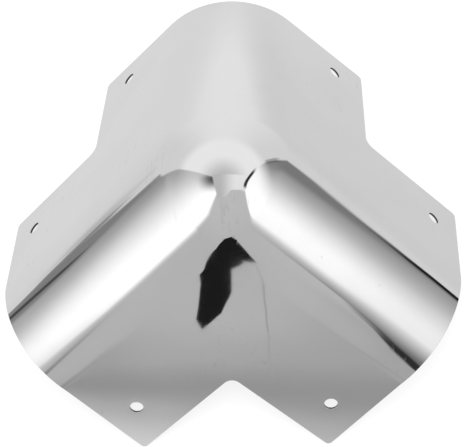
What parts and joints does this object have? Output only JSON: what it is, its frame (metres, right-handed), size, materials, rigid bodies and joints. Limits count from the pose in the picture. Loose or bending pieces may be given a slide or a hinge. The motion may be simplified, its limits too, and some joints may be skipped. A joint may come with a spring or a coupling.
{
  "type": "corner protector",
  "caption": "Pressed sheet-metal corner protector with rounded ridges meeting in a ball, and screw holes near the flange tips.",
  "frame": {"origin": "inside the crown of the ball, on the three-fold axis, where the rounded corner of the box touches the sheet", "axes": "+Z along the three-fold axis, out of the box through the apex; +Y along the leg at the back, so the face between the other two legs looks towards -Y"},
  "size_m": [0.1226, 0.12, 0.0624],
  "materials": {
    "chrome_sheet": "mirror-bright chrome plate on pressed steel sheet"
  },
  "bodies": {
    "root": {"corner_protector": "chrome_sheet"}
  },
  "joints": []
}
